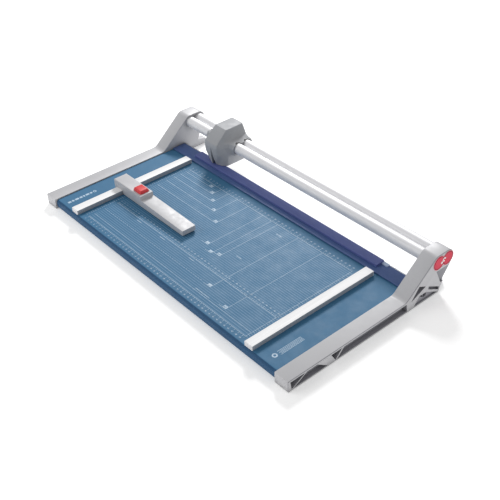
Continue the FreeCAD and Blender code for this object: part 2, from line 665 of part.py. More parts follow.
# ---------------------------------------------------------------- table and cross beams
def table():
    body = document.addObject("PartDesign::Body", "table_body")
    sketch = new_sketch(body, "table_profile", "YZ_Plane", "0 - table_width / 2")
    polygon(sketch, [
        ("table_front", "table_height"),
        ("table_front", "table_height - table_lip"),
        ("table_front + table_sheet", "table_height - table_lip"),
        ("table_front + table_sheet", "table_under"),
        ("table_rear - table_sheet", "table_under"),
        ("table_rear - table_sheet", "table_height - table_flange"),
        ("table_rear", "table_height - table_flange"),
        ("table_rear", "table_height")])
    feature(body, "Pad", "table_sheet_metal", sketch, "table_width")
    front = size("table_front")
    top = size("table_height")
    round_edges(body, "table_inner_bend", "table_bend - table_sheet",
                lambda edge: near(middle(edge).y, front + size("table_sheet"))
                and near(middle(edge).z, top - size("table_sheet"))
                and edge.Length > size("table_lip"))
    round_edges(body, "table_front_bend", "table_bend",
                lambda edge: near(middle(edge).y, front) and near(middle(edge).z, top)
                and edge.Length > size("table_lip"))
    holes = new_sketch(body, "table_holes", "XY_Plane", "table_height")
    for spot in rail_screw_spots():
        circle(holes, spot, "rail_screw / 2")
    for x in POSTS:
        circle(holes, (x, "post_setback"), "post_diameter / 2 + slide_gap")
    feature(body, "Pocket", "table_drilling", holes, "table_sheet")
    drilled = new_sketch(body, "flange_holes", "XZ_Plane", "0 - table_rear")
    for x in counter_screw_spots():
        circle(drilled, (x, COUNTER_SCREW_LEVEL), "counter_screw / 2")
    feature(body, "Pocket", "flange_drilling", drilled, "table_sheet", True)
    return seat(body, "table_plate")


COUNTER_SCREW_LEVEL = "table_height - counter_screw_drop"


def counter_screw_spots():
    return ["%d * counter_screw_pitch" % number for number in (-2, -1, 0, 1, 2)]


def cross_beams():
    """Square steel tubes that tie the end pieces together under the table."""
    for label, setback in (("front_cross_beam", "front_beam_setback"),
                           ("rear_cross_beam", "rear_beam")):
        start = ("0 - inner_face", setback, "beam_under")
        outer = box(label + "_out", start, ("2 * (inner_face)", "beam_width", "beam_height"))
        tools = [box(label + "_in", ("0 - inner_face + beam_plug", setback + " + beam_wall",
                                     "beam_under + beam_wall"),
                     ("2 * (inner_face - beam_plug)", "beam_width - 2 * beam_wall",
                      "beam_height - 2 * beam_wall"))]
        middle_y = setback + " + beam_width / 2"
        for side in (-1, 1):
            reach = "0 - inner_face" if side < 0 else "inner_face - beam_plug"
            tools.append(rod(label + "_tap%d" % (side + 1),
                             (reach, middle_y, "beam_under + beam_height / 2"),
                             "beam_screw / 2", "beam_plug", ALONG_X))
        if label.startswith("rear"):
            for number, x in enumerate(counter_screw_spots()):
                tools.append(rod("rear_tap%d" % number,
                                 (x, "rear_beam + beam_width - beam_wall", COUNTER_SCREW_LEVEL),
                                 "counter_screw / 2", "beam_wall", ALONG_Y))
        seat(cut(label + "_shape", outer, tools), label)
    screws = []
    for side in (-1, 1):
        for number, setback in enumerate(("front_beam_setback", "rear_beam")):
            spot = ("%d * (inner_face + inner_wall)" % side, setback + " + beam_width / 2",
                    "beam_under + beam_height / 2")
            screws.append(screw("beam_screw%d_%d" % (side + 1, number), spot, "beam_screw",
                                "inner_wall + beam_plug", ALONG_X, -side))
    seat(together("beam_screws", screws), "cross_beam_screws")


def counter_blade():
    """Steel counter blade on the rear flange, flush with the table top."""
    bar = box("counter_bar", ("0 - table_width / 2", "table_rear", "table_height - counter_height"),
              ("table_width", "counter_thickness", "counter_height"))
    holes = []
    screws = []
    shank = "counter_thickness + table_sheet + beam_wall"
    for number, x in enumerate(counter_screw_spots()):
        holes.append(rod("counter_hole%d" % number, (x, "table_rear", COUNTER_SCREW_LEVEL),
                         "counter_screw / 2", "counter_thickness", ALONG_Y))
        screws.append(screw("counter_screw%d" % number, (x, "cut_edge", COUNTER_SCREW_LEVEL),
                            "counter_screw", shank, ALONG_Y, -1))
    seat(cut("counter_shape", bar, holes), "counter_blade")
    seat(together("counter_screws", screws), "counter_blade_screws")


def rubber_feet():
    feet = []
    for side in (-1, 1):
        middle_x = "%d * (body_width / 2 - end_width / 2)" % side
        for number, y in enumerate(("foot_setback", "end_foot_depth - foot_setback - foot_length")):
            feet.append(box("foot%d_%d" % (side + 1, number),
                            (middle_x + " - foot_width / 2", y, "0 - foot_proud"),
                            ("foot_width", "foot_length", "foot_proud")))
    seat(together("feet", feet), "rubber_feet")


# ---------------------------------------------------------------- stop rails
RAILS = (("left", "left_rail"), ("right", "right_rail"))
RAIL_SCREW_PLACES = ("rail_screw_inset", "rail_length / 2", "rail_length - rail_screw_inset")


def rail_screw_spots():
    return [(rail + " + rail_width / 2", "rail_front + " + along)
            for _, rail in RAILS for along in RAIL_SCREW_PLACES]


def stop_rails():
    for side, rail in RAILS:
        outer = box(side + "_rail_out", (rail, "rail_front", "table_height"),
                    ("rail_width", "rail_length", "rail_height"))
        inner = box(side + "_rail_in", (rail + " + rail_wall", "rail_front",
                                        "table_height + rail_wall"),
                    ("rail_width - 2 * rail_wall", "rail_length", "rail_height - 2 * rail_wall"))
        taps = [rod("%s_rail_tap%d" % (side, number),
                    (rail + " + rail_width / 2", "rail_front + " + along, "table_height"),
                    "rail_screw / 2", "rail_wall", ALONG_Z)
                for number, along in enumerate(RAIL_SCREW_PLACES)]
        seat(cut(side + "_rail_shape", outer, [inner] + taps), side + "_stop_rail")
    caps = []
    for side, rail in RAILS:
        for number, y in enumerate(("rail_front - rail_cap", "rail_front + rail_length")):
            caps.append(box("%s_rail_cap%d" % (side, number), (rail, y, "table_height"),
                            ("rail_width", "rail_cap", "rail_height")))
    seat(together("rail_caps", caps), "stop_rail_end_caps")
    screws = [screw("rail_screw%d" % number, (spot[0], spot[1], "table_under"), "rail_screw",
                    "table_sheet + rail_wall", ALONG_Z, 1)
              for number, spot in enumerate(rail_screw_spots())]
    seat(together("rail_screws", screws), "stop_rail_screws")


# ---------------------------------------------------------------- clamp
POSTS = ("0 - inner_face + post_inset", "0", "inner_face - post_inset")


def clamp():
    """Clear plastic pressing strip with a raised bar, held up by three sprung posts."""
    strip = box("strip_box", ("0 - inner_face + clamp_end_gap", "clamp_front", "strip_under"),
                ("2 * (inner_face - clamp_end_gap)", "strip_rear - clamp_front", "clamp_strip"))
    seat(together("strip", [strip]), "clamp_strip")
    bar_depth = "strip_rear - (bar_front)"
    outer = box("bar_out", ("0 - clamp_bar_left", "bar_front", "strip_top"),
                ("clamp_bar_left + clamp_bar_right", bar_depth, "clamp_bar_height"))
    inner = box("bar_in", ("0 - clamp_bar_left + clamp_bar_wall", "bar_front + clamp_bar_wall",
                           "strip_top"),
                ("clamp_bar_left + clamp_bar_right - 2 * clamp_bar_wall",
                 bar_depth + " - 2 * clamp_bar_wall", "clamp_bar_height - clamp_bar_wall"))
    seat(cut("bar_shape", outer, [inner]), "clamp_bar")
    tab = box("tab_box", ("clamp_bar_right", "bar_front + clamp_tab_inset", "strip_top"),
              ("clamp_tab_length", bar_depth + " - clamp_tab_inset", "clamp_bar_height / 2"))
    seat(together("tab", [tab]), "clamp_end_tab")
    posts = []
    cups = []
    springs = []
    for number, x in enumerate(POSTS):
        spot = (x, "post_setback", "table_under - cup_height + cup_wall + clamp_spring_height")
        posts.append(rod("post%d" % number, spot, "post_diameter / 2",
                         "cup_height - cup_wall - clamp_spring_height + table_sheet + clamp_lift",
                         ALONG_Z))
        base = (x, "post_setback", "table_under - cup_height")
        floor = (x, "post_setback", "table_under - cup_height + cup_wall")
        cups.append(cut("cup%d" % number,
                        rod("cup_out%d" % number, base, "cup_diameter / 2", "cup_height", ALONG_Z),
                        [rod("cup_in%d" % number, floor, "cup_diameter / 2 - cup_wall",
                             "cup_height - cup_wall", ALONG_Z)]))
        springs.append(coil("clamp_coil%d" % number, floor, size("post_diameter") / 2,
                            size("clamp_spring_height"), size("clamp_coils")))
    seat(together("posts", posts), "clamp_posts")
    seat(together("cups", cups), "clamp_spring_cups")
    seat(together("coils", springs), "clamp_springs")


def coil(name, start, radius, height, turns):
    """A compression spring drawn along its helix."""
    wire = size("spring_wire") / 2
    lift = 1.5 * wire
    rise = height - 2 * lift
    path = Part.makeHelix(rise / turns, rise, radius - wire)
    path.translate(Vector(0, 0, lift))
    section = Part.Wire(Part.makeCircle(wire, Vector(radius - wire, 0, lift), Vector(0, 1, 0)))
    spring = document.addObject("Part::Feature", name)
    spring.Shape = Part.Wire(path.Edges).makePipeShell([section], True, True)
    place(spring, *start)
    return spring


# ---------------------------------------------------------------- back stop
def back_stop():
    """Paper stop on the left rail: a stepped moulding with a hook, a chamber and a long arm."""
    body = document.addObject("PartDesign::Body", "stop_body")
    profile = new_sketch(body, "stop_profile", "XZ_Plane", "0 - stop_setback")
    polygon(profile, [
        ("0 - stop_left", "table_height + hook_lift"),
        ("left_rail - slide_gap", "table_height + hook_lift"),
        ("left_rail - slide_gap", "groove_top"),
        ("shoe_left", "groove_top"),
        ("shoe_left", "stop_under"),
        ("0 - stop_right", "stop_under"),
        ("0 - stop_right", "table_height + stop_tip_height"),
        ("0 - stop_step", "table_height + stop_step_height"),
        ("0 - stop_step", "stop_head_top"),
        ("0 - stop_left", "stop_head_top")])
    feature(body, "Pad", "stop_moulding", profile, "stop_depth", True)
    top = size("table_height") + size("stop_head_height")
    front = size("stop_setback")
    round_edges(body, "stop_rounding", "edge_round",
                lambda edge: near(middle(edge).z, top)
                and (near(middle(edge).y, front) or near(middle(edge).y, front + size("stop_depth"))
                     or near(middle(edge).x, -size("stop_left"))))
    chamber = new_sketch(body, "chamber_outline", "XY_Plane", "stop_under")
    polygon(chamber, [
        ("shoe_left", "stop_middle - shoe_depth / 2 - slide_gap"),
        ("0 - button_left + button_length + slide_gap",
         "stop_middle - shoe_depth / 2 - slide_gap"),
        ("0 - button_left + button_length + slide_gap",
         "stop_middle + shoe_depth / 2 + slide_gap"),
        ("shoe_left", "stop_middle + shoe_depth / 2 + slide_gap")])
    feature(body, "Pocket", "stop_chamber", chamber,
            "stop_head_top - stop_under - button_skirt / 2", True)
    window = new_sketch(body, "window_outline", "XY_Plane", "stop_head_top")
    polygon(window, button_corners("slide_gap"))
    feature(body, "Pocket", "button_window", window, "button_skirt + button_travel + cover_gap")
    cover_seat = new_sketch(body, "cover_outline", "XY_Plane", "stop_under")
    polygon(cover_seat, cover_corners())
    feature(body, "Pocket", "cover_recess", cover_seat, "stop_cover", True)
    taps = new_sketch(body, "cover_taps", "XY_Plane", "stop_under")
    for spot in COVER_SCREWS:
        circle(taps, spot, "stop_screw / 2")
    feature(body, "Pocket", "cover_tapping", taps, "stop_cover + cover_thread", True)
    seat(body, "backstop_body")

    cover = document.addObject("PartDesign::Body", "cover_body")
    sheet_outline = new_sketch(cover, "cover_plate_outline", "XY_Plane", "stop_under")
    polygon(sheet_outline, cover_corners())
    for spot in COVER_SCREWS:
        circle(sheet_outline, spot, "stop_screw / 2")
    feature(cover, "Pad", "cover_plate", sheet_outline, "stop_cover")
    seat(cover, "backstop_bottom_cover")
    screws = [screw("cover_screw%d" % number, (spot[0], spot[1], "stop_under"), "stop_screw",
                    "stop_cover + cover_thread", ALONG_Z, 1)
              for number, spot in enumerate(COVER_SCREWS)]
    seat(together("cover_screws", screws), "backstop_cover_screws")

    button()
    shoe = box("shoe_box", ("shoe_left", "stop_middle - shoe_depth / 2", "chamber_floor + cover_gap"),
               ("shoe_length", "shoe_depth", "shoe_height"))
    seat(together("shoe", [shoe]), "backstop_lock_shoe")
    spring_start = ("0 - button_left + button_length / 2 + button_coil_offset", "stop_middle",
                    "chamber_floor")
    spring_height = size("stop_head_height") - size("button_skirt") - size("stop_lift") - size(
        "stop_cover")
    spring = coil("button_coil", spring_start, size("button_coil_radius"), spring_height,
                  size("button_coils"))
    seat(together("button_coils", [spring]), "backstop_button_spring")


COVER_SCREWS = [("0 - stop_step + cover_screw_offset", "stop_middle %s cover_screw_spread" % sign)
                for sign in "-+"]


def cover_corners():
    left = "shoe_left + cover_rim"
    right = "0 - stop_step + cover_reach"
    near_y = "stop_middle - button_depth / 2 - cover_gap"
    far_y = "stop_middle + button_depth / 2 + cover_gap"
    return [(left, near_y), (right, near_y), (right, far_y), (left, far_y)]


def button_corners(grow):
    """Outline of the button, larger by grow on every side."""
    left = "0 - button_left - " + grow
    right = "0 - button_left + button_length + " + grow
    near_y = "stop_middle - button_depth / 2 - " + grow
    far_y = "stop_middle + button_depth / 2 + " + grow
    return [(left, near_y), (right, near_y), (right, far_y), (left, far_y)]


def button():
    """Red release button with sloping sides above a straight skirt."""
    body = document.addObject("PartDesign::Body", "button_body")
    skirt = new_sketch(body, "button_outline", "XY_Plane", "button_under")
    polygon(skirt, button_corners("0"))
    feature(body, "Pad", "button_block", skirt, "button_skirt + button_proud / 3")
    foot = new_sketch(body, "button_slope_foot", "XY_Plane", "stop_head_top + button_proud / 3")
    polygon(foot, button_corners("0"))
    crown = new_sketch(body, "button_slope_top", "XY_Plane", "stop_head_top + button_proud")
    polygon(crown, button_corners("(0 - button_taper)"))
    document.recompute()
    slope = body.newObject("PartDesign::AdditiveLoft", "button_slope")
    slope.Profile = foot
    slope.Sections = [crown]
    document.recompute()
    seat(body, "backstop_button")


# ---------------------------------------------------------------- cutting head
def head_housing():
    """Moulded head lofted through its level curves, hollow around the blade."""
    body = document.addObject("PartDesign::Body", "head_body")
    curves = []
    for level in HEAD_LEVELS:
        curve = new_sketch(body, "head_%s_curve" % level, "XY_Plane",
                           "tube_height + head_%s_rise" % level)
        curves.append(polygon(curve, level_curve(level)))
    document.recompute()
    skin = body.newObject("PartDesign::AdditiveLoft", "head_loft")
    skin.Profile = curves[0]
    skin.Sections = curves[1:]
    skin.Ruled = True
    document.recompute()
    tools = [rod("head_bore%d" % number,
                 ("0 - head_place - collar_half", spot, "tube_height"), "bore_radius",
                 "2 * collar_half", ALONG_X)
             for number, spot in enumerate(("tube_setback", "rear_tube"))]
    tools.append(blade_chamber())
    tools.append(rod("axle_seat", ("0 - head_place", "hollow_rear", "blade_axis"),
                     "axle_diameter / 2", "axle_anchor", ALONG_Y))
    tools.append(guard_slot())
    lid_half = "(head_crown_half_b - lid_rim - 1)"
    lid_low = "tube_height + bore_radius + lid_rim"
    lid_high = "head_top_height - 2 * lid_rim"
    lid_front = "head_rear - lid_thickness - lid_sink"
    lid_at = ("0 - head_place - " + lid_half, lid_front, lid_low)
    tools.append(box("lid_seat", lid_at, ("2 * " + lid_half, "lid_thickness + lid_sink",
                                          lid_high + " - (%s)" % lid_low)))
    tools.append(box("upper_hollow", ("0 - head_place - %s + lid_ledge" % lid_half,
                                      "tube_setback", lid_low + " + lid_ledge / 2"),
                     ("2 * (%s - lid_ledge)" % lid_half, lid_front + " - tube_setback",
                      lid_high + " - (%s) - lid_ledge" % lid_low)))
    screw_spots = [("0 - head_place %s (%s - lid_ledge / 2 - slide_gap)" % (sign, lid_half),
                    "(%s + %s) / 2" % (lid_low, lid_high)) for sign in ("-", "+")]
    for number, spot in enumerate(screw_spots):
        tools.append(rod("lid_tap%d" % number, (spot[0], lid_front + " - lid_thread", spot[1]),
                         "lid_screw / 2", "lid_thread", ALONG_Y))
    seat(cut("head_shape", body, tools), "head_housing")

    lid = box("lid_box", ("0 - head_place - " + lid_half, lid_front, lid_low),
              ("2 * " + lid_half, "lid_thickness", lid_high + " - (%s)" % lid_low))
    holes = [rod("lid_hole%d" % number, (spot[0], lid_front, spot[1]),
                 "lid_screw / 2", "lid_thickness", ALONG_Y)
             for number, spot in enumerate(screw_spots)]
    seat(cut("lid_shape", lid, holes), "head_rear_lid")
    screws = [screw("lid_screw%d" % number, (spot[0], "head_rear - lid_sink", spot[1]), "lid_screw",
                    "lid_thickness + lid_thread", ALONG_Y, -1)
              for number, spot in enumerate(screw_spots)]
    seat(together("lid_screws", screws), "head_lid_screws")


def level_curve(level):
    """Corners of one level curve: the right half, then its mirror image."""
    right = [("head_%s_half_%s" % (level, letter), "tube_setback + head_%s_back_%s" % (level, letter))
             for letter in "abcdefghij"]
    left = [("0 - head_place - " + half, setback) for half, setback in right[-2:0:-1]]
    return [("0 - head_place + " + half, setback) for half, setback in right] + left


def blade_chamber():
    """Hollow for blade and roller, behind the faces of the prow."""
    body = document.addObject("PartDesign::Body", "chamber_body")
    outline = new_sketch(body, "blade_chamber_outline", "XY_Plane", "head_underside")
    ahead = [("(head_sole_half_b - hollow_wall / 2)", "head_sole_back_b + hollow_wall"),
             ("(head_sole_half_c - hollow_wall / 2)", "head_sole_back_c + hollow_wall"),
             ("(head_sole_half_d - hollow_wall)", "head_sole_back_d + hollow_wall")]
    right = [("0 - head_place + " + half, "tube_setback + " + back) for half, back in ahead]
    left = [("0 - head_place - " + half, "tube_setback + " + back) for half, back in ahead[::-1]]
    side = "(head_sole_half_d - hollow_wall)"
    polygon(outline, [("0 - head_place", "tube_setback + head_sole_back_a + hollow_wall")] + right
            + [("0 - head_place + " + side, "hollow_rear"),
               ("0 - head_place - " + side, "hollow_rear")] + left)
    feature(body, "Pad", "blade_chamber_block", outline, "hollow_height - head_underside")
    return body


def guard_slot():
    """Wedge-shaped slot in the lower front of the head, open into the blade chamber."""
    body = document.addObject("PartDesign::Body", "guard_slot_body")
    wedge = new_sketch(body, "guard_slot_outline", "XZ_Plane", "0 - tube_setback")
    left = "0 - head_place - guard_slot_left"
    polygon(wedge, [(left, "head_underside"),
                    ("0 - head_place + guard_slot_right", "head_underside"),
                    ("0 - head_place + guard_slot_left", "guard_slot_top"),
                    (left, "guard_slot_top")])
    feature(body, "Pad", "guard_slot_wedge", wedge,
            "0 - head_cheek_back_a + hollow_wall", False)
    front = box("guard_slot_limit", ("0 - head_place - guard_slot_right",
                                     "tube_setback + head_cheek_back_a - hollow_wall",
                                     "head_underside"),
                ("2 * guard_slot_right", "guard_slot_depth", "guard_slot_top - head_underside"))
    return common("guard_slot_shape", [body, front])


def glide_bushes():
    """Figure-eight bushes that run on both tubes."""
    for side, start in (("left", "0 - head_place - collar_half + bush_recess"),
                        ("right", "0 - head_place + collar_half - bush_recess - bush_length")):
        outer = []
        inner = []
        for number, spot in enumerate(("tube_setback", "rear_tube")):
            at = (start, spot, "tube_height")
            outer.append(rod("%s_bush_out%d" % (side, number), at, "bore_radius", "bush_length",
                             ALONG_X))
            inner.append(rod("%s_bush_in%d" % (side, number), at, "tube_radius + running_gap",
                             "bush_length", ALONG_X))
        seat(cut(side + "_bush_shape", fuse(side + "_bush_block", outer), inner),
             side + "_glide_bush")


def cutting_gear():
    """Axle fixed in the head, with the blade, its hub and the clamp roller turning on it."""
    centre = "0 - head_place"
    clip_rear = "roller_rear - roller_length - 0.2"
    axle_front = clip_rear + " - clip_thickness - 0.6"
    shaft = rod("axle_rod", (centre, axle_front, "blade_axis"), "axle_diameter / 2",
                "hollow_rear + axle_anchor - (%s)" % axle_front, ALONG_Y)
    flange = rod("axle_flange", (centre, "hollow_rear - 1.2", "blade_axis"), "axle_diameter / 2 + 3",
                 "1.2", ALONG_Y)
    seat(fuse("axle_shape", [shaft, flange]), "blade_axle")

    run = "axle_diameter / 2 + running_gap"
    blade_start = (centre, "blade_face", "blade_axis")
    rim = cone("blade_bevel", blade_start, ("blade_diameter / 2", "blade_diameter / 2 - 1.2"),
               "blade_thickness", ALONG_Y)
    seat(cut("blade_shape", rim, [rod("blade_bore", blade_start, "axle_diameter / 2 + 1.5",
                                      "blade_thickness", ALONG_Y)]), "circular_blade")
    hub_start = (centre, "blade_face - hub_cap", "blade_axis")
    barrel = rod("hub_barrel", hub_start, "axle_diameter / 2 + 1.5",
                 "hub_cap + blade_thickness + hub_length", ALONG_Y)
    rear_disc = rod("hub_rear", (centre, "blade_back", "blade_axis"), "hub_diameter / 2",
                    "hub_length", ALONG_Y)
    front_disc = rod("hub_front", hub_start, "hub_diameter / 2", "hub_cap", ALONG_Y)
    bore = rod("hub_bore", hub_start, run, "hub_cap + blade_thickness + hub_length", ALONG_Y)
    seat(cut("hub_shape", fuse("hub_block", [barrel, rear_disc, front_disc]), [bore]), "blade_hub")

    gap = "hollow_rear - 1.2 - (blade_back + hub_length)"
    seat(tube("thrust_ring", (centre, "blade_back + hub_length + 0.3", "blade_axis"),
              "axle_diameter / 2 + 2", "axle_diameter / 2", gap + " - 0.3", ALONG_Y),
         "blade_thrust_spring")
    seat(tube("spacer_ring", (centre, "roller_rear + 0.3", "blade_axis"), "axle_diameter / 2 + 2.5",
              "axle_diameter / 2", "spacer_length - 0.6", ALONG_Y), "axle_spacer")

    roller_start = (centre, "roller_rear - roller_length", "blade_axis")
    seat(tube("roller_tyre", roller_start, "roller_radius", run + " + roller_bush",
              "roller_length", ALONG_Y), "clamp_roller")
    seat(tube("roller_liner", roller_start, run + " + roller_bush", run, "roller_length", ALONG_Y),
         "roller_bush")
    seat(tube("clip_ring", (centre, clip_rear + " - clip_thickness", "blade_axis"),
              "axle_diameter / 2 + 2", "axle_diameter / 2", "clip_thickness", ALONG_Y),
         "axle_retaining_clip")


# ---------------------------------------------------------------- build, check, write
def build():
    end_piece("left_end_piece", -1)
    end_piece("right_end_piece", 1)
    end_cap("left_end_cap", -1)
    end_cap("right_end_cap", 1)
    guide_tubes()
    table()
    cross_beams()
    counter_blade()
    rubber_feet()
    stop_rails()
    clamp()
    back_stop()
    head_housing()
    glide_bushes()
    cutting_gear()
    document.recompute()


def check():
    for thing in document.Objects:
        if "Invalid" in thing.State or "Error" in thing.State:
            raise ValueError("%s failed: %s" % (thing.Name, thing.State))
    for node in NODES:
        if node.Shape.isNull() or not node.Shape.isValid() or not node.Shape.Solids:
            raise ValueError(node.Label + " has no valid solid")


def write():
    os.makedirs("parts", exist_ok=True)
    for node in NODES:
        node.Shape.exportStep("parts/%s.step" % node.Label)
        print("%-26s %2d solids %10.1f mm3" % (node.Label, len(node.Shape.Solids),
                                               node.Shape.Volume))


build()
check()
write()
print(len(NODES), "nodes")
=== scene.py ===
"""Looks of the rotary paper trimmer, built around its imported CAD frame, in metres."""

import json
import math

import bmesh
import bpy
from mathutils import Matrix, Vector

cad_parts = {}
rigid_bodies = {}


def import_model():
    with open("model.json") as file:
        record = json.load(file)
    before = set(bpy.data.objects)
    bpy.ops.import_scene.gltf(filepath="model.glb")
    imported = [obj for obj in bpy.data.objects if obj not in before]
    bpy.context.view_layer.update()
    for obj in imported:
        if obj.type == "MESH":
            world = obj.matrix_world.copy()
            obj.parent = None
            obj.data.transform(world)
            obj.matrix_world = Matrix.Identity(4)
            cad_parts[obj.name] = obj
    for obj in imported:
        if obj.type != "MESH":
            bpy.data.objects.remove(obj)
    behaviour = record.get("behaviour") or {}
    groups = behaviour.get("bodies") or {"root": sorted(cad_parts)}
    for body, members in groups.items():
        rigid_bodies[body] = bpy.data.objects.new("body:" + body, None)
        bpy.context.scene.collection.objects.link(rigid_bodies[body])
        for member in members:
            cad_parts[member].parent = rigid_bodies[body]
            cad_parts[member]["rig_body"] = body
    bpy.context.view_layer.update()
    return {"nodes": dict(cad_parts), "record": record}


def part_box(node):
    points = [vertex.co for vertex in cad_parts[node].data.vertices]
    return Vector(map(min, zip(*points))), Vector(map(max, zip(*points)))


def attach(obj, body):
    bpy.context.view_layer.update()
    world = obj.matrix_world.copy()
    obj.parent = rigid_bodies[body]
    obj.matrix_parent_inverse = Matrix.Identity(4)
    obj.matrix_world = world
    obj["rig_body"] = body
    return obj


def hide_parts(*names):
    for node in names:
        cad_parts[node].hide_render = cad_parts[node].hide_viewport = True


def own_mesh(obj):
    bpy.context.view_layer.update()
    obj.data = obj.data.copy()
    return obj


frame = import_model()

MM = 0.001


# ---------------------------------------------------------------- node materials
# Noise scales are in patches per metre; a shade is a share of the material's own colour.
# painted shade in recesses: occlusion samples, the open and the buried end of its ramp, and its
# reach
PAINTED_SHADE_SAMPLES = 6
PAINTED_SHADE_OPEN = 0.95
PAINTED_SHADE_BURIED = 0.35
PAINTED_SHADE_REACH = 14 * MM
CONVEX_FROM = 0.52
CONVEX_TO = 0.60
WEAR_SCALE = 90
WEAR_DETAIL = 4


class Recipe:
    """A procedural material put together one layer at a time."""

    def __init__(self, name, color, roughness, metallic=0.0, **sockets):
        self.material = bpy.data.materials.new(name)
        self.material.use_nodes = True
        self.tree = self.material.node_tree
        self.shader = self.tree.nodes["Principled BSDF"]
        self.shader.inputs["Base Color"].default_value = (*color, 1)
        self.shader.inputs["Roughness"].default_value = roughness
        self.shader.inputs["Metallic"].default_value = metallic
        for socket, value in sockets.items():
            self.shader.inputs[socket.replace("_", " ")].default_value = value
        self.material.diffuse_color = (*color, 1)
        self.color = color
        self.place = self.node("ShaderNodeTexCoord").outputs["Object"]

    def node(self, kind, **settings):
        made = self.tree.nodes.new(kind)
        for field, value in settings.items():
            setattr(made, field, value)
        return made

    def link(self, source, target):
        self.tree.links.new(source, target)

    def noise(self, scale, detail=3.0, stretch=(1, 1, 1)):
        """Noise over the object's own coordinates, drawn out along an axis by stretch."""
        mapping = self.node("ShaderNodeMapping")
        mapping.inputs["Scale"].default_value = stretch
        self.link(self.place, mapping.inputs["Vector"])
        noise = self.node("ShaderNodeTexNoise")
        noise.inputs["Scale"].default_value = scale
        noise.inputs["Detail"].default_value = detail
        self.link(mapping.outputs["Vector"], noise.inputs["Vector"])
        return noise.outputs["Fac"]

    def range(self, source, low, high, start=0.3, end=0.7):
        """Map a factor to a span of values."""
        spread = self.node("ShaderNodeMapRange")
        for socket, value in (("From Min", start), ("From Max", end), ("To Min", low),
                              ("To Max", high)):
            spread.inputs[socket].default_value = value
        self.link(source, spread.inputs["Value"])
        return spread.outputs["Result"]

    def tint(self, factor, other, amount=1.0, start=0.3, end=0.7):
        """Blend the colour so far towards another by a factor."""
        mix = self.node("ShaderNodeMix", data_type="RGBA")
        previous = self.shader.inputs["Base Color"]
        if previous.is_linked:
            self.link(previous.links[0].from_socket, mix.inputs["A"])
        else:
            mix.inputs["A"].default_value = (*self.color, 1)
        mix.inputs["B"].default_value = (*other, 1)
        self.link(self.range(factor, 0, amount, start, end), mix.inputs["Factor"])
        self.link(mix.outputs["Result"], previous)
        return self

    def shade(self, factor):
        """A lighter or darker tone of the material's own colour."""
        return tuple(min(1.0, part * factor) for part in self.color)

    def mottle(self, scale, shade, detail=3.0, stretch=(1, 1, 1), amount=1.0):
        """Soft patches in another shade."""
        return self.tint(self.noise(scale, detail, stretch), self.shade(shade), amount)

    def painted_recess_shade(self, shade, amount):
        """Painted shade: darker recesses, by how much their surroundings occlude them."""
        occlusion = self.node("ShaderNodeAmbientOcclusion", samples=PAINTED_SHADE_SAMPLES)
        occlusion.inputs["Distance"].default_value = PAINTED_SHADE_REACH
        return self.tint(occlusion.outputs["AO"], self.shade(shade), amount, PAINTED_SHADE_OPEN,
                         PAINTED_SHADE_BURIED)

    def rough(self, factor, low, high):
        self.link(self.range(factor, low, high), self.shader.inputs["Roughness"])
        return self

    def bump(self, height, distance, strength):
        bump = self.node("ShaderNodeBump")
        bump.inputs["Distance"].default_value = distance
        bump.inputs["Strength"].default_value = strength
        self.link(height, bump.inputs["Height"])
        normal = self.shader.inputs["Normal"]
        if normal.is_linked:
            self.link(normal.links[0].from_socket, bump.inputs["Normal"])
        self.link(bump.outputs["Normal"], normal)
        return self

    def worn_edges(self, shade, amount):
        """Paler convex edges, where paint or mould skin rubs thin."""
        pointiness = self.node("ShaderNodeNewGeometry").outputs["Pointiness"]
        edge = self.range(pointiness, 0, 1, CONVEX_FROM, CONVEX_TO)
        mix = self.node("ShaderNodeMath", operation="MULTIPLY")
        self.link(edge, mix.inputs[0])
        self.link(self.noise(WEAR_SCALE, WEAR_DETAIL), mix.inputs[1])
        return self.tint(mix.outputs["Value"], self.shade(shade), amount)


def painted_cast(name, color, recess=0.85):
    """Die casting under a fine-textured paint, with painted shade darkening its recesses."""
    recipe = Recipe(name, color, roughness=0.45, Specular_IOR_Level=0.45)
    recipe.mottle(scale=14, shade=0.94)
    recipe.mottle(scale=260, shade=0.96, detail=4)
    recipe.rough(recipe.noise(scale=60), low=0.40, high=0.52)
    recipe.bump(recipe.noise(scale=1900, detail=2), distance=0.04 * MM, strength=0.35)
    recipe.bump(recipe.noise(scale=45, detail=2), distance=0.2 * MM, strength=0.10)
    # painted shade in the recesses, by the share recess
    recipe.painted_recess_shade(shade=0.30, amount=recess)
    return recipe.worn_edges(shade=1.12, amount=0.35).material


def moulded(name, color, roughness=0.4, grain=1500, depth=0.05, shine=0.5):
    """Injection-moulded plastic with a fine grain, its depth in mm."""
    recipe = Recipe(name, color, roughness, Specular_IOR_Level=shine)
    recipe.mottle(scale=18, shade=0.92)
    recipe.mottle(scale=420, shade=1.06, detail=4, amount=0.6)
    recipe.rough(recipe.noise(scale=75), low=roughness - 0.06, high=roughness + 0.08)
    recipe.bump(recipe.noise(scale=grain), distance=depth * MM, strength=0.4)
    return recipe.worn_edges(shade=1.18, amount=0.3).material


def brushed(name, color, roughness, stretch, metallic=1.0):
    """Metal with a fine grain along one axis."""
    recipe = Recipe(name, color, roughness, metallic)
    grain = recipe.noise(scale=1600, stretch=stretch)
    recipe.tint(grain, recipe.shade(0.90))
    recipe.rough(grain, low=roughness - 0.06, high=roughness + 0.10)
    recipe.bump(grain, distance=0.02 * MM, strength=0.3)
    return recipe.mottle(scale=8, shade=0.95, amount=0.7).material


def rubber(name, color):
    recipe = Recipe(name, color, roughness=0.8, Specular_IOR_Level=0.3)
    recipe.mottle(scale=30, shade=1.5, detail=4)
    recipe.mottle(scale=700, shade=0.7)
    recipe.rough(recipe.noise(scale=90), low=0.72, high=0.9)
    recipe.bump(recipe.noise(scale=900, detail=4), distance=0.1 * MM, strength=0.4)
    return recipe.material


